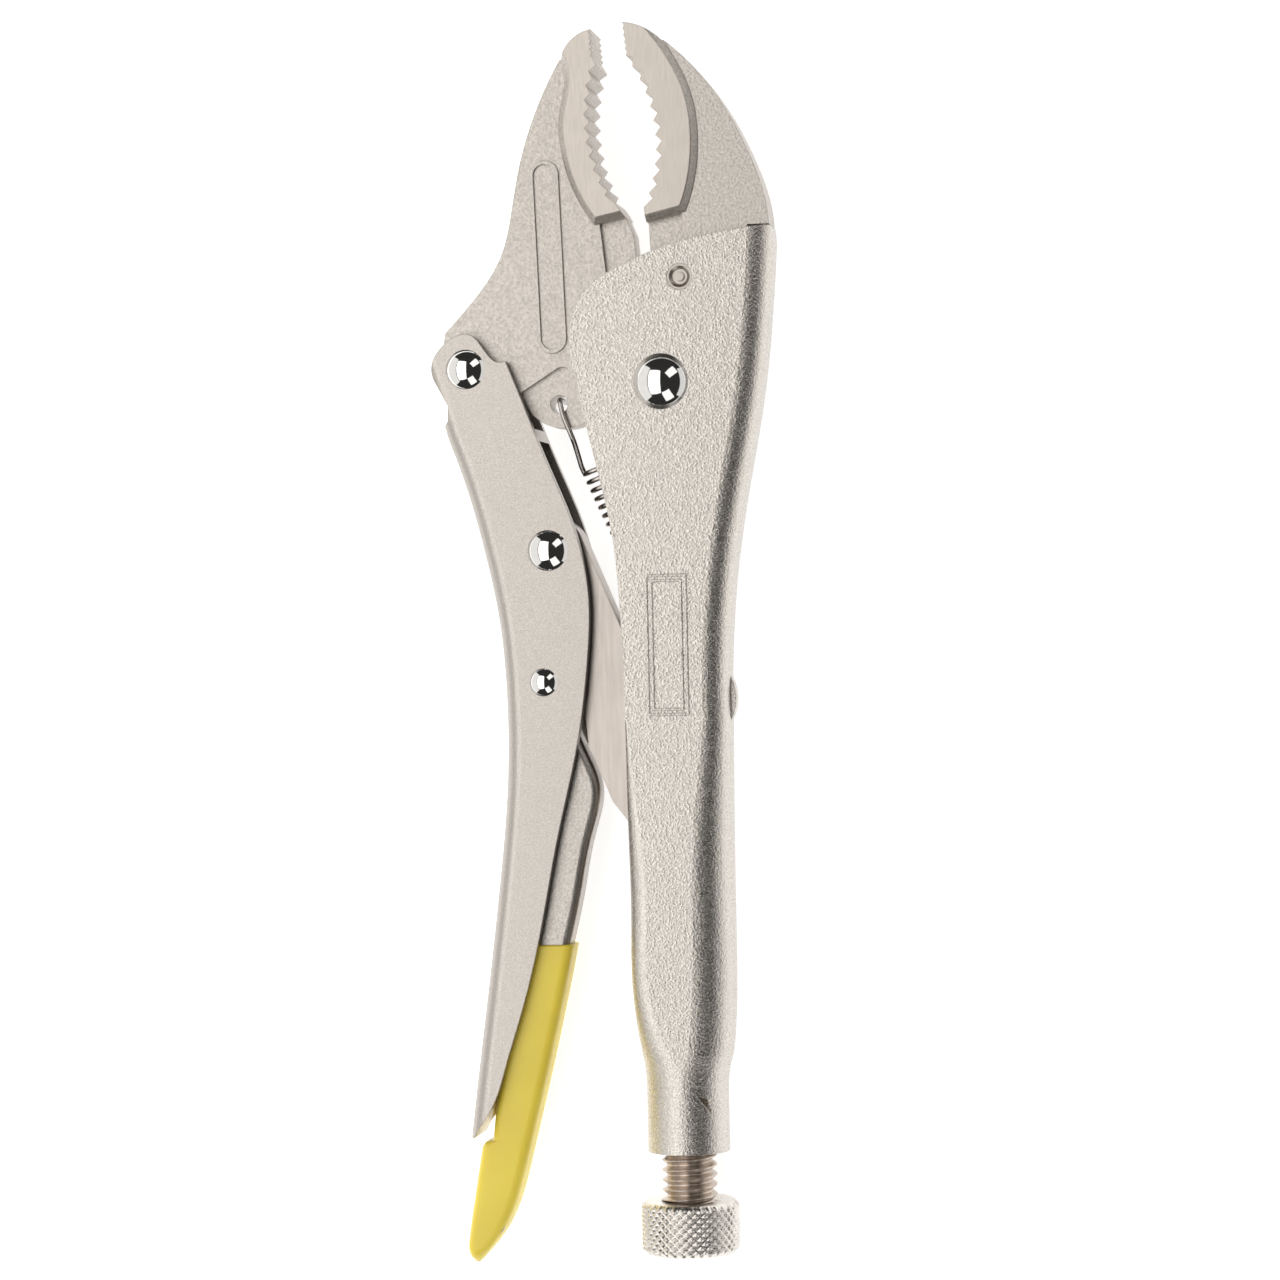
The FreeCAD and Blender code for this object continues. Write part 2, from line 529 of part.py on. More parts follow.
def release_lever():
    """A channel of thin sheet, its web towards the fixed handle."""
    nose = [polar(RELEASE_PIVOT, RELEASE_NOSE_RADIUS, degrees) for degrees in (150, 95, 30)]
    wire = outline(nose[0], ("arc", nose[1], nose[2]), RELEASE_FRONT[0],
                   ("curve",) + RELEASE_FRONT[1:], ("arc", (-38.6, -171.8), (-41.4, -168.0)),
                   RELEASE_SHOULDER, RELEASE_BACK[0], ("curve",) + RELEASE_BACK[1:])
    body = slab(wire, RELEASE_HALF)
    body = body.makeFillet(RELEASE_BEND, edges_over(body, RELEASE_FRONT[0], RELEASE_FRONT[-1]))
    half_room = RELEASE_HALF - RELEASE_SHEET
    inner = shifted(RELEASE_FRONT, -RELEASE_SHEET)
    room = slab(outline(inner[0], ("curve",) + inner[1:], (-BEYOND, inner[-1][1]),
                        (-BEYOND, inner[0][1])), half_room)
    top_slot = block(-BEYOND, BEYOND, inner[0][1] - 0.1, 0, -half_room, half_room)
    pin = disc(RELEASE_PIVOT, RELEASE_RIVET[0] + PIVOT_CLEARANCE, BEYOND)
    return one_solid(body.cut([room, top_slot, pin]))


def grip_sleeve():
    """The dipped plastic over the release lever's lower end."""
    half = RELEASE_HALF + GRIP_WALL
    front = ((-20.8, GRIP_TOP_Y), (-22.9, -122.5), (-26.0, -135.6), (-29.4, -149.0),
             (-33.0, -162.5), (-35.6, -169.0))
    back = ((-43.6, -171.0), (-40.6, -152.9))
    inside = ((-38.4, -152.4), (-36.8, -140.0), (-34.2, -126.0), (-31.6, GRIP_TOP_Y))
    wire = outline(front[0], ("curve",) + front[1:], ("curve", (-38.4, -173.2), (-42.0, -177.2),
                   (-43.9, -175.2), back[0]), back[1], inside[0], ("curve",) + inside[1:])
    sleeve = slab(wire, half)
    soft = edges_over(sleeve, front[0], front[-1])
    sleeve = sleeve.makeFillet(GRIP_ROUNDING, soft)
    return one_solid(sleeve.cut(release_lever()))


# ---------------------------------------------------------------- rivets and pins

def rivet(place, sizes, half_stack):
    """A dome-headed rivet through a stack of sheet, headed on both faces."""
    shank, head, height = sizes
    pieces = [disc(place, shank, half_stack)]
    ball = (head * head + height * height) / (2 * height)
    for sign in (1, -1):
        centre = at(place, sign * (half_stack + height - ball))
        dome = Part.makeSphere(ball, centre)
        seat = Part.makeCylinder(head + 1, height + 1, at(place, sign * half_stack),
                                 Vector(0, 0, sign))
        pieces.append(dome.common(seat))
    return one_solid(pieces[0].multiFuse(pieces[1:]))


def jaw_stake_pin():
    """A pin peened into both cheeks, dished below their faces with a raised middle."""
    half = HANDLE_HALF - STAKE_PIN_INSET
    pin = disc(STAKE_PIN_PLACE, STAKE_PIN_RADIUS, half)
    bottom = at(STAKE_PIN_PLACE, half - STAKE_DIMPLE_DEPTH)
    height = STAKE_DIMPLE_DEPTH + 0.1
    dish = Part.makeCone(STAKE_PIN_RADIUS - 1.1, STAKE_PIN_RADIUS - 0.3, height, bottom)
    nub = Part.makeCylinder(STAKE_NUB_RADIUS, height, bottom)
    return one_solid(pin.cut(on_both_faces(dish.cut(nub))))


# ---------------------------------------------------------------- adjusting screw

def link_end_y():
    return LINK_SEAT[1] - LINK_END_RADIUS


def adjusting_screw():
    """Turned in one profile. The thread's grooves are rings: this piece only slides."""
    root = THREAD_RADIUS - THREAD_DEPTH
    bottom = KNOB_TOP_Y - KNOB_HEIGHT / 2
    nose_y = link_end_y() - SCREW_NOSE_GAP
    thread_end = nose_y - SCREW_NOSE_LENGTH
    half = THREAD_PITCH / 2 - THREAD_CREST / 2
    turns = int((thread_end - KNOB_TOP_Y) / THREAD_PITCH)
    profile = [(0, bottom), (THREAD_RADIUS, bottom)]
    for i in range(turns):
        middle = KNOB_TOP_Y + THREAD_PITCH * (i + 0.5)
        profile += [(THREAD_RADIUS, middle - half), (root, middle - THREAD_CREST / 2),
                    (root, middle + THREAD_CREST / 2), (THREAD_RADIUS, middle + half)]
    profile += [(THREAD_RADIUS, thread_end), (root, thread_end + THREAD_DEPTH / 2),
                (root - SCREW_NOSE_TAPER, nose_y), (0, nose_y), (0, bottom)]
    face = Part.Face(Part.makePolygon([Vector(x, y, 0) for x, y in profile]))
    screw = face.revolve(Vector(0, 0, 0), Vector(0, 1, 0), 360)
    screw.translate(Vector(SCREW_X, 0, 0))
    return one_solid(screw)


def knurled_knob():
    """The knob's body; it is blind, so the screw ends half way into it."""
    corners = ((0, 0), (KNOB_RADIUS - KNOB_CHAMFER, 0), (KNOB_RADIUS, KNOB_CHAMFER),
               (KNOB_RADIUS, KNOB_HEIGHT - KNOB_CHAMFER), (KNOB_RADIUS - KNOB_CHAMFER, KNOB_HEIGHT),
               (0, KNOB_HEIGHT), (0, 0))
    profile = Part.Face(Part.makePolygon([Vector(x, -y, 0) for x, y in corners]))
    knob = profile.revolve(Vector(0, 0, 0), Vector(0, 1, 0), 360)
    socket = Part.makeCylinder(THREAD_RADIUS + PIVOT_CLEARANCE, KNOB_HEIGHT / 2 + 0.05,
                               Vector(0, 0, 0), Vector(0, -1, 0))
    knob = knob.cut(socket)
    knob.translate(Vector(SCREW_X, KNOB_TOP_Y, 0))
    return one_solid(knob)


def thread_bush():
    """The nut staked into the collar."""
    ring = down_from(BUSH_TOP_Y, BUSH_RADIUS, BUSH_TOP_Y - COLLAR_END_Y - BUSH_INSET)
    bore = down_from(BUSH_TOP_Y + 1, THREAD_RADIUS + THREAD_CLEARANCE, BEYOND)
    return one_solid(ring.cut(bore))


# ---------------------------------------------------------------- spring

def wire_rod(points):
    """Round wire through these points: a ball at each and a rod between each two."""
    pieces = []
    for start, end in zip(points, points[1:]):
        run = end - start
        pieces.append(Part.makeCylinder(SPRING_WIRE_RADIUS, run.Length, start, run))
        pieces.append(Part.makeSphere(SPRING_WIRE_RADIUS, end))
    return pieces


def tension_spring():
    axis = Vector(math.sin(math.radians(SPRING_LEAN)), -math.cos(math.radians(SPRING_LEAN)), 0)
    side = Vector(-axis.y, axis.x, 0)
    coil_length = SPRING_TURNS * SPRING_PITCH
    helix = Part.makeHelix(SPRING_PITCH, coil_length, SPRING_COIL_RADIUS)
    ring = Part.Wire([Part.makeCircle(SPRING_WIRE_RADIUS, Vector(SPRING_COIL_RADIUS, 0, 0),
                                      Vector(0, 1, 0))])
    coil = Part.Wire(helix.Edges).makePipeShell([ring], True, True)
    # the helix starts at its local +X; lay +Z along the spring and +X away from the handle
    turn = FreeCAD.Matrix(-side.x, 0, axis.x, SPRING_TOP[0],
                          -side.y, 0, axis.y, SPRING_TOP[1],
                          0, 1, 0, 0,
                          0, 0, 0, 1)
    coil = coil.transformGeometry(turn) if turn.determinant() < 0 else coil.transformShape(turn)
    top = at(SPRING_TOP)
    start = top - side * SPRING_COIL_RADIUS
    finish = start + axis * coil_length
    hole = at(SPRING_HOLE)
    beside = JAW_NECK_HALF + SPRING_WIRE_RADIUS + HOOK_CLEARANCE
    upper = wire_rod([start, start - axis * 1.2, Vector(-18.6, -10.2, beside),
                      hole + Vector(0, 0.6, beside), hole + Vector(0, 0.6, -beside)])
    spine_x = HANDLE_SPINE[-1][0]
    tab = Vector(spine_x - HANDLE_SHEET - 1.1, SPRING_TAB_Y, 0)
    lower = wire_rod([finish, tab])
    return coil.multiFuse(upper + lower)


NODES = {
    "handle_shell": handle_shell,
    "fixed_jaw": fixed_jaw,
    "movable_jaw": movable_jaw,
    "lever_handle": lever_handle,
    "toggle_link": toggle_link,
    "release_lever": release_lever,
    "grip_sleeve": grip_sleeve,
    "main_pivot_rivet": lambda: rivet((0, 0), MAIN_RIVET, HANDLE_HALF),
    "jaw_lever_rivet": lambda: rivet(JAW_LEVER_PIVOT, JAW_LEVER_RIVET, LEVER_HALF),
    "link_rivet": lambda: rivet(LINK_PIVOT, LINK_RIVET, LEVER_HALF),
    "release_lever_rivet": lambda: rivet(RELEASE_PIVOT, RELEASE_RIVET, LEVER_HALF),
    "jaw_stake_pin": jaw_stake_pin,
    "adjusting_screw": adjusting_screw,
    "knurled_knob": knurled_knob,
    "thread_bush": thread_bush,
    "tension_spring": tension_spring,
}


def main():
    parts = {name: make() for name, make in NODES.items()}
    box = Part.makeCompound(list(parts.values())).optimalBoundingBox(False, False)
    middle = Vector((box.XMin + box.XMax) / 2, (box.YMin + box.YMax) / 2, box.ZMin)
    print("main pivot at", [round(-value, 3) for value in middle])
    os.makedirs("parts", exist_ok=True)
    for name, shape in parts.items():
        shape.translate(-middle)
        shape.exportStep("parts/%s.step" % name)


main()
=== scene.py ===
import json
import math

import bmesh
import bpy
from bpy.props import FloatProperty, FloatVectorProperty, IntProperty, PointerProperty
from mathutils import Matrix, Vector


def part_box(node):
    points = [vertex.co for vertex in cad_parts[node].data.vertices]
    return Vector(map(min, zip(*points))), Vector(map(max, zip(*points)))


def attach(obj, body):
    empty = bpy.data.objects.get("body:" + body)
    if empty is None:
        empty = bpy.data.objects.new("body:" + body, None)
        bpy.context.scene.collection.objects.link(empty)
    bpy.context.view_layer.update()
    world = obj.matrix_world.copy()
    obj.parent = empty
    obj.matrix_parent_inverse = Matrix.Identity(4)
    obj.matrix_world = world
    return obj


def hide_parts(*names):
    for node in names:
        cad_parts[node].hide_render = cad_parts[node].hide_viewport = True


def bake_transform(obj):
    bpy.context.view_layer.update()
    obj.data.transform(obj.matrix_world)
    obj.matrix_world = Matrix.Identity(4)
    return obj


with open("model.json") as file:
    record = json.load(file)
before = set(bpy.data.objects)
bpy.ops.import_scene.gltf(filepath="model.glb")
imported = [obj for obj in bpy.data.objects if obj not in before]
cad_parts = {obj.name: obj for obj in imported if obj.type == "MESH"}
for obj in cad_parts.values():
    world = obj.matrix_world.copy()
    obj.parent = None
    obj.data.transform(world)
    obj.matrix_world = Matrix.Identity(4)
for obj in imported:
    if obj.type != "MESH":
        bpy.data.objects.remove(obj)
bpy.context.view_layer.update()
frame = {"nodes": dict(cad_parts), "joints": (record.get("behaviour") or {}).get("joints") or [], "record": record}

bl_info = {
    "name": "Locking Pliers",
    "version": (1, 0, 0),
    "blender": (4, 5, 0),
    "location": "3D View > Sidebar > Pliers",
    "description": "Finishes and fine pieces for a pair of curved-jaw locking pliers",
    "category": "Object",
}

MM = 0.001
JOINTS = {joint["name"]: joint for joint in frame["joints"]}
MAIN_PIVOT = Vector(JOINTS["jaw_open"]["pos_m"])
KNOB_LOW, KNOB_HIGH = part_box("knurled_knob")
SCREW_LOW, SCREW_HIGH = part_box("adjusting_screw")
GRIP_LOW, GRIP_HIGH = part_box("grip_sleeve")
JAW_PAD_LOW, JAW_PAD_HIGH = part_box("fixed_jaw")
SCREW_AXIS = Vector(JOINTS["screw_travel"]["pos_m"])
KNOB_TURN = frame["record"]["behaviour"]["couplings"][-1]      # radians for a metre of screw
THREAD_LEAD = 2 * math.pi / abs(KNOB_TURN["ratio"])

# the shape of the fine pieces, in metres
KNOB_CHAMFER = 0.9 * MM
KNOB_RIM = 0.1 * MM             # the step between the chamfer and the knob's flat ends
KNOB_CENTRE_DIP = 0.25 * MM     # lathe centre in the knob's end
KNURL_CREST = 0.82              # share of a diamond's height that isn't cut flat
KNURL_STEPS = 8                 # points across one diamond
SCREW_NOSE = 3.0 * MM
THREAD_STEPS = 72               # points round the screw
THREAD_ROWS = 14                # rows of points in one lead
THREAD_FLAT = 0.10              # share of a lead that a groove's bottom takes
THREAD_FLANK = 0.78
COIL_STEPS = 28                 # points round one turn of the spring
HOOK_REACH = 3.6 * MM           # of the hook, each side of the mid-plane
GRIP_TIP = 3.5 * MM             # how far up the grip its tip is rounded
GRIP_LIP = 0.35 * MM
FLOOR_GLOW = 0.72
FLOOR_REACH = 3.0

# softboxes: place from the tool's middle, width, height, watts
LIGHT_COLOUR = (1.0, 0.985, 0.965)
LIGHTS = (
    ("overhead softbox", (-0.47, 0.0, 1.07), 2.00, 0.95, 10.4),
    ("left wall", (-1.25, 0.0, 0.42), 2.80, 1.10, 8.8),
    ("upper right softbox", (0.66, 0.66, 0.74), 0.50, 0.80, 1.5),
    ("lower right softbox", (0.42, -0.89, 0.69), 0.62, 0.85, 2.0),
    ("low right strip", (1.25, 0.0, 0.22), 2.20, 0.42, 2.2),
)


def from_pivot(x, y, z=0.0):
    """A place given in millimetres from the main pivot, on the tool's mid-plane."""
    return MAIN_PIVOT + Vector((x, y, z)) * MM


# ------------------------------------------------------------------ what a user may change

class PliersFinish(bpy.types.PropertyGroup):
    nickel: FloatVectorProperty(
        name="Nickel", description="Colour of the satin nickel on the handles",
        subtype="COLOR", size=3, min=0, max=1, default=(0.625, 0.588, 0.542))
    forged: FloatVectorProperty(
        name="Forging", description="Colour of the blasted flanks of the jaws",
        subtype="COLOR", size=3, min=0, max=1, default=(0.560, 0.520, 0.478))
    fine_nickel: FloatVectorProperty(
        name="Fine nickel", description="Colour of the smoother nickel on the levers",
        subtype="COLOR", size=3, min=0, max=1, default=(0.495, 0.462, 0.425))
    jaw_steel: FloatVectorProperty(
        name="Jaw steel", description="Colour of the ground jaw pads",
        subtype="COLOR", size=3, min=0, max=1, default=(0.500, 0.457, 0.415))
    link_steel: FloatVectorProperty(
        name="Link steel", description="Colour of the smooth toggle link",
        subtype="COLOR", size=3, min=0, max=1, default=(0.510, 0.463, 0.424))
    screw_steel: FloatVectorProperty(
        name="Screw steel", description="Colour of the turned adjusting screw",
        subtype="COLOR", size=3, min=0, max=1, default=(0.600, 0.520, 0.455))
    chrome: FloatVectorProperty(
        name="Chrome", description="Colour of the polished rivet heads",
        subtype="COLOR", size=3, min=0, max=1, default=(0.86, 0.85, 0.83))
    body_grain: FloatProperty(
        name="Body grain", description="Size of the blasted grain on the fixed handle",
        subtype="DISTANCE", unit="LENGTH", min=0.00005, max=0.002, default=0.00031)
    lever_grain: FloatProperty(
        name="Lever grain", description="Size of the finer grain on the lever",
        subtype="DISTANCE", unit="LENGTH", min=0.00005, max=0.002, default=0.00018)


class PliersKnob(bpy.types.PropertyGroup):
    diamonds: IntProperty(
        name="Diamonds round", description="Knurling diamonds round the knob",
        min=12, max=90, default=34)
    knurl_depth: FloatProperty(
        name="Knurl depth", description="Depth of the knurling's grooves",
        subtype="DISTANCE", unit="LENGTH", min=0.0001, max=0.002, default=0.00052)
    thread_depth: FloatProperty(
        name="Thread depth", description="Depth of the adjusting screw's thread",
        subtype="DISTANCE", unit="LENGTH", min=0.0002, max=0.002, default=0.00105)


class PliersSpring(bpy.types.PropertyGroup):
    wire: FloatProperty(
        name="Wire radius", description="Radius of the spring's wire",
        subtype="DISTANCE", unit="LENGTH", min=0.0002, max=0.002, default=0.00052)
    coil: FloatProperty(
        name="Coil radius", description="Radius of the coil to the middle of the wire",
        subtype="DISTANCE", unit="LENGTH", min=0.001, max=0.01, default=0.0029)
    turns: IntProperty(
        name="Turns", description="Turns of the tension spring", min=5, max=60, default=22)


class PliersGrip(bpy.types.PropertyGroup):
    colour: FloatVectorProperty(
        name="Plastic", description="Colour of the dipped plastic",
        subtype="COLOR", size=3, min=0, max=1, default=(1.0, 0.780, 0.095))
    rounding: FloatProperty(
        name="Rounding", description="Radius along the grip's edges",
        subtype="DISTANCE", unit="LENGTH", min=0.0002, max=0.004, default=0.0019)


class PliersStage(bpy.types.PropertyGroup):
    floor: FloatVectorProperty(
        name="Floor", description="Colour of the floor",
        subtype="COLOR", size=3, min=0, max=1, default=(0.93, 0.93, 0.93))
    brightness: FloatProperty(
        name="Brightness", description="Strength of the studio light",
        min=0.0, max=10.0, default=1.0)


# ------------------------------------------------------------------ material helpers

class Nodes:
    """Builds one material's node tree, each node in a column to the right of the last."""

    def __init__(self, name):
        self.material = bpy.data.materials.new(name)
        self.material.use_nodes = True
        self.tree = self.material.node_tree
        self.tree.nodes.clear()
        self.column = 0
        self.shader = self.add("ShaderNodeBsdfPrincipled")
        output = self.add("ShaderNodeOutputMaterial")
        self.link(self.shader.outputs["BSDF"], output.inputs["Surface"])

    def add(self, kind, inputs=None, **settings):
        node = self.tree.nodes.new(kind)
        node.location = (self.column * 180, 0)
        self.column += 1
        for key, value in settings.items():
            setattr(node, key, value)
        for key, value in (inputs or {}).items():
            if isinstance(value, bpy.types.NodeSocket):
                self.link(value, node.inputs[key])
            else:
                node.inputs[key].default_value = value
        return node

    def link(self, source, target):
        self.tree.links.new(source, target)

    def place(self):
        return self.add("ShaderNodeTexCoord").outputs["Object"]

    def noise(self, place, size, detail=2.0, rough=0.5, stretch=(1, 1, 1)):
        """Noise whose features are about this size in metres."""
        scaled = self.add("ShaderNodeMapping", {"Vector": place, "Scale": stretch})
        node = self.add("ShaderNodeTexNoise", {
            "Vector": scaled.outputs["Vector"], "Scale": 0.7 / size, "Detail": detail,
            "Roughness": rough})
        return node.outputs["Fac"]

    def spread(self, value, low, high, to_low, to_high):
        node = self.add("ShaderNodeMapRange", {
            "Value": value, "From Min": low, "From Max": high,
            "To Min": to_low, "To Max": to_high}, interpolation_type="LINEAR")
        return node.outputs["Result"]

    def mix(self, share, first, second):
        node = self.add("ShaderNodeMix", data_type="RGBA")
        for key, value in ((0, share), (6, first), (7, second)):
            if isinstance(value, bpy.types.NodeSocket):
                self.link(value, node.inputs[key])
            else:
                node.inputs[key].default_value = value
        return node.outputs[2]

    def maths(self, operation, first, second=0.0):
        node = self.add("ShaderNodeMath", {0: first, 1: second}, operation=operation)
        return node.outputs[0]

    def edge_wear_and_painted_highlight(self, radius):
        """A normal rounded over sharp edges, and a mask of those edges, which the finishes use to brighten them
        for wear and as a painted highlight.
        """
        rounded = self.add("ShaderNodeBevel", {"Radius": radius}, samples=4)
        flat = self.add("ShaderNodeNewGeometry").outputs["Normal"]
        dot = self.add("ShaderNodeVectorMath", {0: rounded.outputs["Normal"], 1: flat},
                       operation="DOT_PRODUCT")
        return rounded.outputs["Normal"], self.spread(dot.outputs["Value"], 0.97, 0.80, 0, 1)

    def bump(self, height, depth, normal=None, strength=1.0):
        inputs = {"Height": height, "Distance": depth, "Strength": strength}
        if normal is not None:
            inputs["Normal"] = normal
        return self.add("ShaderNodeBump", inputs).outputs["Normal"]

    def finish(self, colour, roughness, normal, metallic=1.0):
        for key, value in (("Base Color", colour), ("Roughness", roughness),
                           ("Normal", normal)):
            if isinstance(value, bpy.types.NodeSocket):
                self.link(value, self.shader.inputs[key])
            elif value is not None:
                self.shader.inputs[key].default_value = value
        self.shader.inputs["Metallic"].default_value = metallic
        return self.material


def shade(colour, factor):
    return (colour[0] * factor, colour[1] * factor, colour[2] * factor, 1.0)


def blasted_nickel(name, colour, grain, depth, roughness):
    """Nickel over a bead-blasted surface: dull sparkle, fine pits, edges brightened by wear and a painted
    highlight.
    """
    n = Nodes(name)
    place = n.place()
    fine = n.noise(place, grain, 2.5, 0.6)
    coarse = n.noise(place, grain * 2.6, 1.5, 0.5)
    clouds = n.noise(place, 0.012, 3.0, 0.55)
    speck = n.spread(fine, 0.32, 0.68, 0, 1)
    normal, edges = n.edge_wear_and_painted_highlight(0.00025)
    tone = n.mix(speck, shade(colour, 0.80), shade(colour, 1.12))
    tone = n.mix(n.spread(clouds, 0.3, 0.7, 0.0, 0.35), tone, shade(colour, 0.95))
    # edges brightened: partly wear, partly a painted highlight
    tone = n.mix(n.maths("MULTIPLY", edges, 0.5), tone, shade(colour, 1.22))
    rough = n.spread(fine, 0.3, 0.7, roughness + 0.05, roughness - 0.05)
    height = n.maths("ADD", fine, n.maths("MULTIPLY", coarse, 0.35))
    return n.finish(tone, rough, n.bump(height, depth, normal))


def ground_steel(name, colour, forged, pad_half):
    """Ground pads on a blasted forging: the pads stand proud of this half thickness."""
    n = Nodes(name)
    place = n.place()
    across = n.add("ShaderNodeSeparateXYZ", {"Vector": place}).outputs["Z"]
    proud = n.maths("ABSOLUTE", n.maths("SUBTRACT", across, MAIN_PIVOT.z))
    pad = n.spread(proud, pad_half - 0.0001, pad_half, 0, 1)
    grain = n.noise(place, 0.00040, 2.5, 0.6)
    strokes = n.noise(place, 0.00030, 2.0, 0.6, stretch=(1.0, 0.10, 1.0))
    swirls = n.noise(place, 0.006, 2.0, 0.5)
    normal, edges = n.edge_wear_and_painted_highlight(0.0002)
    blasted = n.mix(n.spread(grain, 0.32, 0.68, 0, 1),
                    shade(forged, 0.82), shade(forged, 1.14))
    polished = n.mix(n.spread(strokes, 0.35, 0.65, 0, 1),
                     shade(colour, 0.95), shade(colour, 1.05))
    polished = n.mix(n.spread(swirls, 0.35, 0.65, 0, 0.3), polished, shade(colour, 0.90))
    tone = n.mix(pad, blasted, polished)
    # edges brightened: partly wear, partly a painted highlight
    tone = n.mix(n.maths("MULTIPLY", edges, 0.45), tone, shade(colour, 1.30))
    rough = n.spread(pad, 0, 1, 0.42, 0.34)
    height = n.mix(pad, grain, n.maths("MULTIPLY", strokes, 0.12))
    return n.finish(tone, rough, n.bump(height, 0.000075, normal))


def smooth_satin(name, colour, roughness=0.34):
    """Smooth rolled sheet with faint drawing lines."""
    n = Nodes(name)
    place = n.place()
    lines = n.noise(place, 0.00045, 2.0, 0.6, stretch=(1.0, 0.06, 1.0))
    clouds = n.noise(place, 0.008, 3.0, 0.55)
    grain = n.noise(place, 0.00022, 2.0, 0.6)
    normal, edges = n.edge_wear_and_painted_highlight(0.00018)
    tone = n.mix(n.spread(clouds, 0.3, 0.7, 0, 1), shade(colour, 0.93), shade(colour, 1.05))
    tone = n.mix(n.spread(grain, 0.35, 0.65, 0, 0.3), tone, shade(colour, 0.86))
    # edges brightened: partly wear, partly a painted highlight
    tone = n.mix(n.maths("MULTIPLY", edges, 0.5), tone, shade(colour, 1.30))
    rough = n.spread(lines, 0.3, 0.7, roughness - 0.04, roughness + 0.05)
    height = n.maths("ADD", lines, n.maths("MULTIPLY", grain, 0.6))
    return n.finish(tone, rough, n.bump(height, 0.000006, normal))


def mirror_chrome(name, colour):
    """Polished plating with the faintest haze and hairlines."""
    n = Nodes(name)
    place = n.place()
    haze = n.noise(place, 0.0009, 3.0, 0.6)
    hair = n.noise(place, 0.00008, 2.0, 0.5, stretch=(1.0, 0.2, 1.0))
    tone = n.mix(n.spread(haze, 0.35, 0.65, 0, 1), shade(colour, 0.96), shade(colour, 1.0))
    rough = n.spread(haze, 0.3, 0.7, 0.035, 0.085)
    return n.finish(tone, rough, n.bump(hair, 0.0000009))


def turned_steel(name, colour, roughness=0.30):
    """Steel from the lathe: tool rings across the axis, and patches of brown oil."""
    n = Nodes(name)
    place = n.place()
    rings = n.noise(place, 0.00022, 2.0, 0.6, stretch=(0.08, 1.0, 0.08))
    stain = n.noise(place, 0.0016, 3.0, 0.6)
    normal, edges = n.edge_wear_and_painted_highlight(0.00012)
    tone = n.mix(n.spread(rings, 0.3, 0.7, 0, 1), shade(colour, 0.84), shade(colour, 1.10))
    tone = n.mix(n.spread(stain, 0.4, 0.7, 0, 0.5), tone, shade(colour, 0.72))
    # edges brightened: partly wear, partly a painted highlight
    tone = n.mix(n.maths("MULTIPLY", edges, 0.7), tone, shade(colour, 1.55))
    rough = n.spread(rings, 0.3, 0.7, roughness - 0.06, roughness + 0.08)
    return n.finish(tone, rough, n.bump(rings, 0.000012, normal))


def dipped_plastic(name, colour):
    """Glossy soft plastic from dipping: slow waves, tiny pimples, a little depth."""
    n = Nodes(name)
    place = n.place()
    waves = n.noise(place, 0.009, 2.0, 0.5)
    pimples = n.noise(place, 0.0006, 2.0, 0.5)
    tone = n.mix(n.spread(waves, 0.3, 0.7, 0, 1), shade(colour, 0.93), shade(colour, 1.03))
    rough = n.spread(pimples, 0.3, 0.7, 0.30, 0.40)
    height = n.maths("ADD", waves, n.maths("MULTIPLY", pimples, 0.08))
    material = n.finish(tone, rough, n.bump(height, 0.00025), metallic=0.0)
    n.shader.inputs["Subsurface Weight"].default_value = 0.25
    n.shader.inputs["Subsurface Radius"].default_value = (1.0, 0.6, 0.15)
    n.shader.inputs["Subsurface Scale"].default_value = 0.0012
    n.shader.inputs["IOR"].default_value = 1.5
    return material


def studio_floor(name, colour, glow):
    n = Nodes(name)
    haze = n.noise(n.place(), 0.05, 3.0, 0.5)
    tone = n.mix(n.spread(haze, 0.3, 0.7, 0, 1), shade(colour, 0.995), shade(colour, 1.0))
    material = n.finish(tone, 0.9, None, metallic=0.0)
    n.shader.inputs["Emission Color"].default_value = (1.0, 1.0, 1.0, 1.0)
    n.shader.inputs["Emission Strength"].default_value = glow
    return material


# ------------------------------------------------------------------ mesh helpers

def cover(node, material):
    """Gives a node of the frame this finish."""
    slots = frame["nodes"][node].data.materials
    slots.clear()
    slots.append(material)


def new_object(name, vertices, faces, material, smooth_angle=40.0):
    mesh = bpy.data.meshes.new(name)
    mesh.from_pydata(vertices, [], faces)
    mesh.validate()
    work = bmesh.new()
    work.from_mesh(mesh)
    bmesh.ops.recalc_face_normals(work, faces=work.faces)
    for face in work.faces:
        face.smooth = True
    for edge in work.edges:
        if edge.is_manifold and edge.calc_face_angle(0) > math.radians(smooth_angle):
            edge.smooth = False
    work.to_mesh(mesh)
    work.free()
    mesh.materials.append(material)
    made = bpy.data.objects.new(name, mesh)
    bpy.context.scene.collection.objects.link(made)
    return made


def turned(profile, steps, wobble=None):
    """A closed profile of (radius, y) turned about the screw's axis. wobble(angle, y) takes
    that much off the radius of the points it is given."""
    vertices = []
    for i in range(steps):
        angle = 2 * math.pi * i / steps
        for radius, y, worked in profile:
            cut = wobble(angle, y) if worked and wobble else 0.0
            reach = max(radius - cut, 0.0)
            vertices.append(Vector((SCREW_AXIS.x + reach * math.cos(angle), y,
                                    SCREW_AXIS.z + reach * math.sin(angle))))
    count = len(profile)
    faces = []
    for i in range(steps):
        for j in range(count - 1):
            here, there = i * count, (i + 1) % steps * count
            faces.append((here + j, here + j + 1, there + j + 1, there + j))
    return vertices, faces


def close_ends(made):
    """Welds the points on the axis, so that a turned piece is shut."""
    work = bmesh.new()
    work.from_mesh(made.data)
    bmesh.ops.remove_doubles(work, verts=work.verts, dist=1e-7)
    bmesh.ops.recalc_face_normals(work, faces=work.faces)
    work.to_mesh(made.data)
    work.free()


def even(start, end, count):
    return [start + (end - start) * i / (count - 1) for i in range(count)]


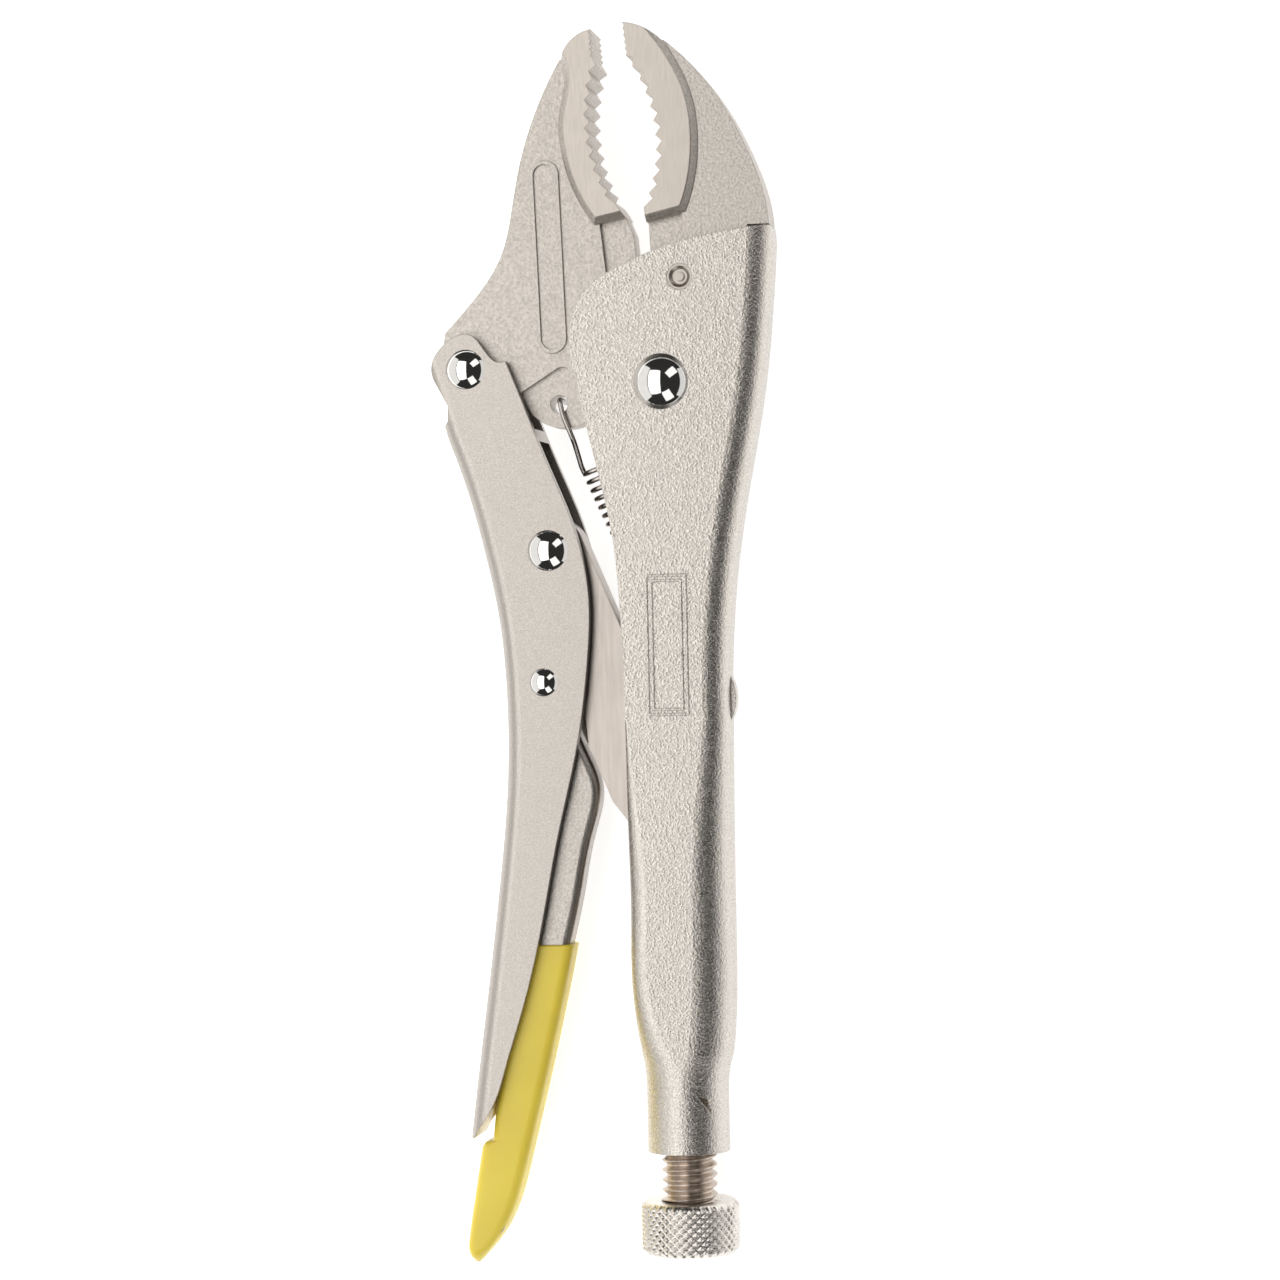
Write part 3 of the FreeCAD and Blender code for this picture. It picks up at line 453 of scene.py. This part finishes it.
def through(points, per_span):
    """A smooth line through the points."""
    line = []
    ends = [points[0] * 2 - points[1]] + list(points) + [points[-1] * 2 - points[-2]]
    for a, b, c, d in zip(ends, ends[1:], ends[2:], ends[3:]):
        for i in range(per_span):
            t = i / per_span
            line.append(0.5 * ((2 * b) + (c - a) * t + (2 * a - 5 * b + 4 * c - d) * t * t
                               + (3 * b - a - 3 * c + d) * t ** 3))
    return line + [points[-1]]


def wire_mesh(line, radius, sides=12):
    """Round wire along a line, with rounded ends."""
    vertices, faces = [], []
    up = Vector((0.13, 0.21, 0.97)).normalized()
    rings = []
    for i, point in enumerate(line):
        run = (line[min(i + 1, len(line) - 1)] - line[max(i - 1, 0)]).normalized()
        up = (up - run * up.dot(run)).normalized()
        rings.append((point, run, up.copy(), radius))
    point, run, side, _ = rings[0]
    rings.insert(0, (point - run * radius * 0.7, run, side, radius * 0.55))
    point, run, side, _ = rings[-1]
    rings.append((point + run * radius * 0.7, run, side, radius * 0.55))
    for point, run, side, size in rings:
        other = run.cross(side)
        for k in range(sides):
            angle = 2 * math.pi * k / sides
            vertices.append(point + side * size * math.cos(angle) + other * size * math.sin(angle))
    for i in range(len(rings) - 1):
        for k in range(sides):
            a, b = i * sides + k, i * sides + (k + 1) % sides
            faces.append((a, b, b + sides, a + sides))
    faces.append(tuple(range(sides)))
    faces.append(tuple(range(len(vertices) - sides, len(vertices))))
    return vertices, faces


def x_at(line, y):
    """Where a line that runs down the tool passes this height."""
    for above, below in zip(line, line[1:]):
        if below.y <= y <= above.y:
            share = (above.y - y) / max(above.y - below.y, 1e-9)
            return above.x + (below.x - above.x) * share
    return line[0].x if y > line[0].y else line[-1].x


def soft_bar(front, back, heights, middle_z, half_at, rounding, corner=7):
    """A bar between two lines, made of rounded rectangles at these heights."""
    vertices, faces = [], []
    turns = [(1, 1), (-1, 1), (-1, -1), (1, -1)]
    for y in heights:
        low, high, half = x_at(back, y), x_at(front, y), half_at(y)
        round_by = min(rounding, half * 0.98, (high - low) * 0.49)
        for quarter, (side, up) in enumerate(turns):
            centre_x = (high - round_by) if side > 0 else (low + round_by)
            centre_z = up * (half - round_by)
            for k in range(corner):
                angle = math.pi / 2 * (quarter + k / (corner - 1))
                vertices.append(Vector((centre_x + round_by * math.cos(angle), y,
                                        middle_z + centre_z + round_by * math.sin(angle))))
    count = corner * len(turns)
    for i in range(len(heights) - 1):
        for k in range(count):
            a, b = i * count + k, i * count + (k + 1) % count
            faces.append((a, b, b + count, a + count))
    faces.append(tuple(range(count)))
    faces.append(tuple(range(len(vertices) - count, len(vertices))))
    return vertices, faces


# ------------------------------------------------------------------ pieces

class PLIERS_OT_handle(bpy.types.Operator):
    """Gives the fixed handle its coarse blasted nickel, and its bush a turned finish"""
    bl_idname = "pliers.handle"
    bl_label = "Fixed handle"

    def execute(self, context):
        finish = context.scene.pliers_finish
        nickel = blasted_nickel("coarse blasted nickel", finish.nickel, finish.body_grain,
                                0.00016, 0.27)
        cover("handle_shell", nickel)
        cover("jaw_stake_pin", smooth_satin("peened pin steel", finish.jaw_steel))
        cover("thread_bush", turned_steel("bush steel", finish.screw_steel))
        return {"FINISHED"}


class PLIERS_OT_jaws(bpy.types.Operator):
    """Gives both jaws blasted flanks and ground pads"""
    bl_idname = "pliers.jaws"
    bl_label = "Jaws"

    def execute(self, context):
        finish = context.scene.pliers_finish
        pad_half = (JAW_PAD_HIGH.z - JAW_PAD_LOW.z) / 2
        jaw = ground_steel("ground and blasted jaw steel", finish.jaw_steel, finish.forged,
                           pad_half - 0.0001)
        cover("fixed_jaw", jaw)
        cover("movable_jaw", jaw)
        return {"FINISHED"}


class PLIERS_OT_lever(bpy.types.Operator):
    """Gives the lever, link and release lever their smoother finishes"""
    bl_idname = "pliers.lever"
    bl_label = "Lever and link"

    def execute(self, context):
        finish = context.scene.pliers_finish
        cover("lever_handle", blasted_nickel("fine blasted nickel", finish.fine_nickel,
                                             finish.lever_grain, 0.000032, 0.33))
        cover("toggle_link", smooth_satin("satin link steel", finish.link_steel))
        cover("release_lever", blasted_nickel("release lever nickel", finish.fine_nickel,
                                              finish.body_grain, 0.00006, 0.34))
        return {"FINISHED"}


class PLIERS_OT_rivets(bpy.types.Operator):
    """Chromes the four dome-headed rivets"""
    bl_idname = "pliers.rivets"
    bl_label = "Rivets"

    def execute(self, context):
        chrome = mirror_chrome("rivet chrome", context.scene.pliers_finish.chrome)
        for node in ("main_pivot_rivet", "jaw_lever_rivet", "link_rivet", "release_lever_rivet"):
            cover(node, chrome)
        return {"FINISHED"}


class PLIERS_OT_knob(bpy.types.Operator):
    """Makes the knob with its diamond knurling"""
    bl_idname = "pliers.knob"
    bl_label = "Knurled knob"

    def execute(self, context):
        knob = context.scene.pliers_knob
        radius = (KNOB_HIGH.x - KNOB_LOW.x) / 2
        bottom, top = KNOB_LOW.y, KNOB_HIGH.y
        around = knob.diamonds
        diamond = 2 * math.pi * radius / around
        depth = knob.knurl_depth

        def knurl(angle, y):
            """Two families of V grooves crossing at a right angle."""
            first = angle / (2 * math.pi) * around + (y - bottom) / diamond
            second = angle / (2 * math.pi) * around - (y - bottom) / diamond
            walls = [abs(2 * (turn % 1.0) - 1) for turn in (first, second)]
            height = 1 - max(walls)
            fade = min(1.0, min(y - bottom, top - y) / KNOB_CHAMFER - 0.1)
            return depth * (1 - min(height, KNURL_CREST) / KNURL_CREST) * max(fade, 0.0)

        rows = KNURL_STEPS * int(round((top - bottom) / diamond))
        bore = (SCREW_HIGH.x - SCREW_LOW.x) / 2
        shoulder = radius - KNOB_CHAMFER
        wall = bore + 0.06 * MM
        lower = [(0.0, bottom + KNOB_CENTRE_DIP), (0.8 * MM, bottom + KNOB_CENTRE_DIP),
                 (1.3 * MM, bottom), (radius * 0.5, bottom), (shoulder - KNOB_RIM, bottom),
                 (shoulder, bottom + 0.04 * MM)]
        upper = [(shoulder, top - 0.04 * MM), (shoulder - KNOB_RIM, top), (radius * 0.75, top),
                 (bore + 0.35 * MM, top), (wall, top - 0.25 * MM), (wall, (bottom + top) / 2),
                 (0.0, (bottom + top) / 2)]
        profile = [(reach, y, False) for reach, y in lower]
        knurled = even(bottom + KNOB_CHAMFER, top - KNOB_CHAMFER, rows)
        profile += [(radius, y, True) for y in knurled]
        profile += [(reach, y, False) for reach, y in upper]
        vertices, faces = turned(profile, around * KNURL_STEPS, knurl)
        steel = turned_steel("knurled nickel", (0.78, 0.74, 0.69), roughness=0.26)
        made = new_object("knurled_knob_turned", vertices, faces, steel, 50)
        close_ends(made)
        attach(made, "knob")
        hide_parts("knurled_knob")
        return {"FINISHED"}


class PLIERS_OT_screw(bpy.types.Operator):
    """Makes the adjusting screw with its helical thread"""
    bl_idname = "pliers.screw"
    bl_label = "Adjusting screw"

    def execute(self, context):
        depth = context.scene.pliers_knob.thread_depth
        radius = (SCREW_HIGH.x - SCREW_LOW.x) / 2
        low, high = SCREW_LOW.y, SCREW_HIGH.y
        shank_end = high - SCREW_NOSE

        def thread(angle, y):
            """How deep the thread is cut here: a blunt V that winds once a lead."""
            turn = (y / THREAD_LEAD + angle / (2 * math.pi)) % 1.0
            wall = abs(2 * turn - 1)
            cut = min(max((wall - THREAD_FLAT) / THREAD_FLANK, 0.0), 1.0)
            fade = min(1.0, max(0.0, (shank_end - y) / THREAD_LEAD + 0.4))
            return depth * cut * fade

        rows = int((shank_end - low) / THREAD_LEAD * THREAD_ROWS)
        profile = [(0.0, low, False)]
        profile += [(radius, y, True) for y in even(low, shank_end, rows)]
        profile += [(radius - depth, shank_end + 0.6 * MM, False),
                    (radius - depth - 1.2 * MM, high - 0.3 * MM, False),
                    (radius - depth - 1.6 * MM, high, False), (0.0, high, False)]
        vertices, faces = turned(profile, THREAD_STEPS, thread)
        steel = turned_steel("threaded steel", context.scene.pliers_finish.screw_steel)
        made = new_object("adjusting_screw_threaded", vertices, faces, steel, 60)
        close_ends(made)
        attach(made, "screw")
        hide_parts("adjusting_screw")
        return {"FINISHED"}


class PLIERS_OT_spring(bpy.types.Operator):
    """Winds the tension spring between the movable jaw and the handle's tab"""
    bl_idname = "pliers.spring"
    bl_label = "Tension spring"

    def execute(self, context):
        spring = context.scene.pliers_spring
        hole = from_pivot(-21.5, -3.6)
        coil_top = from_pivot(-14.4, -16.6)
        tab = from_pivot(8.6, -63.5)
        coil_end = from_pivot(2.3, -54.2)
        axis = coil_end - coil_top
        length = axis.length
        axis.normalize()
        side = Vector((-axis.y, axis.x, 0))
        across = Vector((0, 0, 1))
        start = coil_top - side * spring.coil
        hook = [hole + Vector((0.0002, 0.0007, -HOOK_REACH)),
                hole + Vector((0.0001, 0.0009, -0.0015)),
                hole + Vector((0.0001, 0.0009, 0.0015)),
                hole + Vector((0.0003, 0.0004, HOOK_REACH)),
                from_pivot(-20.4, -6.4, 3.8), from_pivot(-19.0, -10.0, 3.5),
                from_pivot(-18.4, -12.4, 2.2), start - axis * 0.0012 + across * 0.0004]
        line = through(hook, 8)[:-1]
        total = spring.turns * COIL_STEPS
        for i in range(total + 1):
            angle = 2 * math.pi * i / COIL_STEPS
            centre = coil_top + axis * length * i / total
            line.append(centre - side * spring.coil * math.cos(angle)
                        + across * spring.coil * math.sin(angle))
        foot = [line[-1], line[-1] + axis * 0.002, tab + Vector((-0.0012, 0.0018, 0.0)), tab]
        line += through(foot, 8)[1:]
        vertices, faces = wire_mesh(line, spring.wire)
        wire = smooth_satin("spring wire steel", (0.52, 0.49, 0.46), 0.26)
        made = new_object("tension_spring_wound", vertices, faces, wire, 60)
        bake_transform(made)
        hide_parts("tension_spring")
        return {"FINISHED"}


class PLIERS_OT_grip(bpy.types.Operator):
    """Dips the release lever's lower end in plastic"""
    bl_idname = "pliers.grip"
    bl_label = "Dipped grip"

    def execute(self, context):
        grip = context.scene.pliers_grip
        top, bottom = GRIP_HIGH.y, GRIP_LOW.y
        front = through([from_pivot(*p) for p in (
            (-20.8, -112.8), (-22.9, -122.5), (-26.0, -135.6), (-29.4, -149.0), (-33.0, -162.5),
            (-35.6, -169.0), (-38.2, -173.0), (-41.6, -176.9), (-42.3, -177.3))], 8)
        back = through([from_pivot(*p) for p in (
            (-31.6, -112.8), (-34.2, -126.0), (-36.8, -140.0), (-38.4, -152.4))], 8)
        back += through([from_pivot(*p) for p in (
            (-40.5, -152.8), (-42.1, -162.0), (-43.6, -171.0), (-43.9, -175.0),
            (-42.8, -177.2))], 8)
        half = (GRIP_HIGH.z - GRIP_LOW.z) / 2

        def half_at(y):
            """Thins out round the tip, and a little at the upper lip."""
            towards_tip = max(0.0, (bottom + GRIP_TIP - y) / GRIP_TIP)
            towards_top = max(0.0, (y - top + GRIP_LIP) / GRIP_LIP)
            rounded = half * math.sqrt(1 - min(towards_tip, 0.94) ** 2)
            return rounded - GRIP_LIP * towards_top ** 2

        shoulder = from_pivot(0, -152.4).y
        heights = even(top, top - GRIP_LIP, 4) + even(top - 2 * GRIP_LIP, shoulder, 40)
        heights += even(shoulder - 0.3 * MM, bottom + GRIP_TIP, 24)
        rings = [math.pi / 2 * i / 12 for i in range(1, 13)]
        heights += [bottom + GRIP_TIP * (1 - math.sin(angle)) for angle in rings]
        vertices, faces = soft_bar(front, back, heights, MAIN_PIVOT.z, half_at, grip.rounding)
        plastic = dipped_plastic("dipped yellow plastic", grip.colour)
        made = new_object("grip_sleeve_dipped", vertices, faces, plastic, 50)
        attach(made, "release_lever")
        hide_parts("grip_sleeve")
        return {"FINISHED"}


# ------------------------------------------------------------------ stage

def softbox(name, place, target, width, height, watts):
    light = bpy.data.lights.new(name, "AREA")
    light.shape = "RECTANGLE"
    light.size = width
    light.size_y = height
    light.energy = watts
    light.color = LIGHT_COLOUR
    made = bpy.data.objects.new(name, light)
    made.location = place
    made.rotation_euler = (target - place).to_track_quat("-Z", "Y").to_euler()
    bpy.context.scene.collection.objects.link(made)


def set_camera():
    """Nearly straight above the tool, leaning a little to the fixed handle's side."""
    lean, roll = math.radians(10.2), math.radians(1.24)
    distance = 0.6605
    view_width = 0.256          # seen from side to side at the target
    target = from_pivot(-5.24, -51.6, 6.8)
    right = Vector((math.cos(roll), -math.sin(roll), 0))
    up = Vector((math.sin(roll), math.cos(roll), 0))
    place = target + distance * (math.sin(lean) * right + math.cos(lean) * Vector((0, 0, 1)))
    back = (place - target).normalized()
    across = up.cross(back).normalized()
    data = bpy.data.cameras.new("camera")
    data.sensor_width = 36.0
    data.lens = data.sensor_width * distance / view_width
    data.clip_start = 0.01
    camera = bpy.data.objects.new("camera", data)
    rotation = Matrix((across, back.cross(across), back)).transposed().to_4x4()
    camera.matrix_world = Matrix.Translation(place) @ rotation
    bpy.context.scene.collection.objects.link(camera)
    bpy.context.scene.camera = camera


class PLIERS_OT_stage(bpy.types.Operator):
    """Sets the pale floor, the soft studio light and the camera"""
    bl_idname = "pliers.stage"
    bl_label = "Stage"

    def execute(self, context):
        stage = context.scene.pliers_stage
        middle = from_pivot(-5, -50)
        signs = ((-1, -1), (1, -1), (1, 1), (-1, 1))
        corners = [Vector((x * FLOOR_REACH, y * FLOOR_REACH, 0)) for x, y in signs]
        mesh = bpy.data.meshes.new("floor")
        mesh.from_pydata(corners, [], [(0, 1, 2, 3)])
        mesh.materials.append(studio_floor("pale floor", stage.floor,
                                           FLOOR_GLOW * stage.brightness))
        floor = bpy.data.objects.new("floor", mesh)
        context.scene.collection.objects.link(floor)
        for name, place, width, height, watts in LIGHTS:
            softbox(name, middle + Vector(place), middle, width, height,
                    watts * stage.brightness)
        world = bpy.data.worlds.new("studio")
        world.use_nodes = True
        world.node_tree.nodes["Background"].inputs["Color"].default_value = (1.0, 0.98, 0.96, 1.0)
        world.node_tree.nodes["Background"].inputs["Strength"].default_value = 0.03
        context.scene.world = world
        context.scene.view_settings.view_transform = "Standard"
        set_camera()
        return {"FINISHED"}


# ------------------------------------------------------------------ sidebar and registration

OPERATORS = (PLIERS_OT_stage, PLIERS_OT_handle, PLIERS_OT_jaws, PLIERS_OT_lever,
             PLIERS_OT_rivets, PLIERS_OT_knob, PLIERS_OT_screw, PLIERS_OT_spring,
             PLIERS_OT_grip)
GROUPS = (("pliers_finish", PliersFinish), ("pliers_knob", PliersKnob),
          ("pliers_spring", PliersSpring), ("pliers_grip", PliersGrip),
          ("pliers_stage", PliersStage))


class PLIERS_PT_panel(bpy.types.Panel):
    """Lists the pliers' settings and makes their pieces"""
    bl_idname = "PLIERS_PT_panel"
    bl_label = "Locking Pliers"
    bl_space_type = "VIEW_3D"
    bl_region_type = "UI"
    bl_category = "Pliers"

    def draw(self, context):
        for name, group in GROUPS:
            box = self.layout.box()
            for key in group.__annotations__:
                box.prop(getattr(context.scene, name), key)
        for operator in OPERATORS:
            self.layout.operator(operator.bl_idname)


def register():
    for name, group in GROUPS:
        bpy.utils.register_class(group)
        setattr(bpy.types.Scene, name, PointerProperty(type=group))
    for operator in OPERATORS:
        bpy.utils.register_class(operator)
    bpy.utils.register_class(PLIERS_PT_panel)


def unregister():
    bpy.utils.unregister_class(PLIERS_PT_panel)
    for operator in reversed(OPERATORS):
        bpy.utils.unregister_class(operator)
    for name, group in reversed(GROUPS):
        delattr(bpy.types.Scene, name)
        bpy.utils.unregister_class(group)


def main():
    register()
    for operator in OPERATORS:
        family, name = operator.bl_idname.split(".")
        result = getattr(getattr(bpy.ops, family), name)()
        if result != {"FINISHED"}:
            raise RuntimeError("%s did not finish" % operator.bl_idname)


if __name__ == "__main__":
    main()
